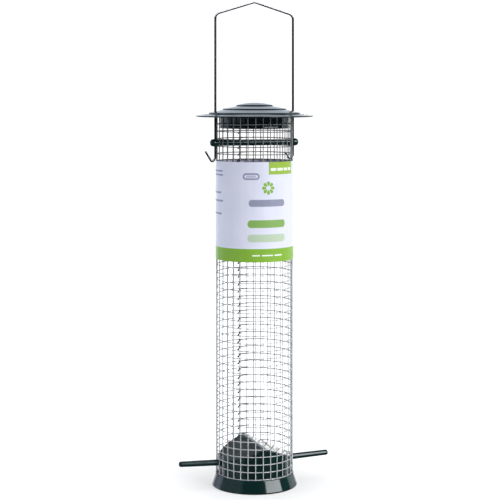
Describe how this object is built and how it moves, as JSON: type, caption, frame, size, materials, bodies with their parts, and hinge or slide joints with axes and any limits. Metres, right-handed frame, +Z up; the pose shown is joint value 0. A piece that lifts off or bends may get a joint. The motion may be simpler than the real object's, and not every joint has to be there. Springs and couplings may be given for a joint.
{
  "type": "hanging bird feeder",
  "caption": "Welded-mesh peanut feeder tube on a roofed foot with side perches, a crossbar, a bent-wire hanger and a stepped lid that slides up the hanger for filling.",
  "frame": {"origin": "centre of the foot's underside, on the tube's axis", "axes": "+Z up along the tube; the perches, crossbar and hanger lie in the XZ plane; the mesh seam is at the back, +Y"},
  "size_m": [0.1376, 0.1042, 0.423],
  "materials": {
    "green_plastic": "glossy dark green moulding",
    "zinc_wire": "galvanised wire, bright with grey patches",
    "label_card": "coated white card with plain printed colour areas",
    "lid_paint": "gloss dark green paint on pressed sheet",
    "collar_paint": "gloss dark green paint",
    "hanger_wire": "drawn steel wire, dull bright"
  },
  "bodies": {
    "cage": {"base": "green_plastic", "perch_left": "green_plastic", "perch_right": "green_plastic", "mesh_uprights": "zinc_wire", "mesh_rings": "zinc_wire", "mesh_seam_ties": "zinc_wire", "label_sleeve": "label_card", "crossbar_rod": "green_plastic", "crossbar_knob_left": "green_plastic", "crossbar_knob_right": "green_plastic"},
    "lid": {"lid_cap": "lid_paint", "lid_collar": "collar_paint"},
    "hanger": {"hanger": "hanger_wire"}
  },
  "joints": [
    {"name": "lid_slide", "type": "slide", "parent": "cage", "child": "lid", "axis": [0, 0, 1], "range_m": [0, 0.08]},
    {"name": "hanger_lift", "type": "slide", "parent": "cage", "child": "hanger", "axis": [0, 0, 1], "range_m": [0, 0.0025]}
  ]
}
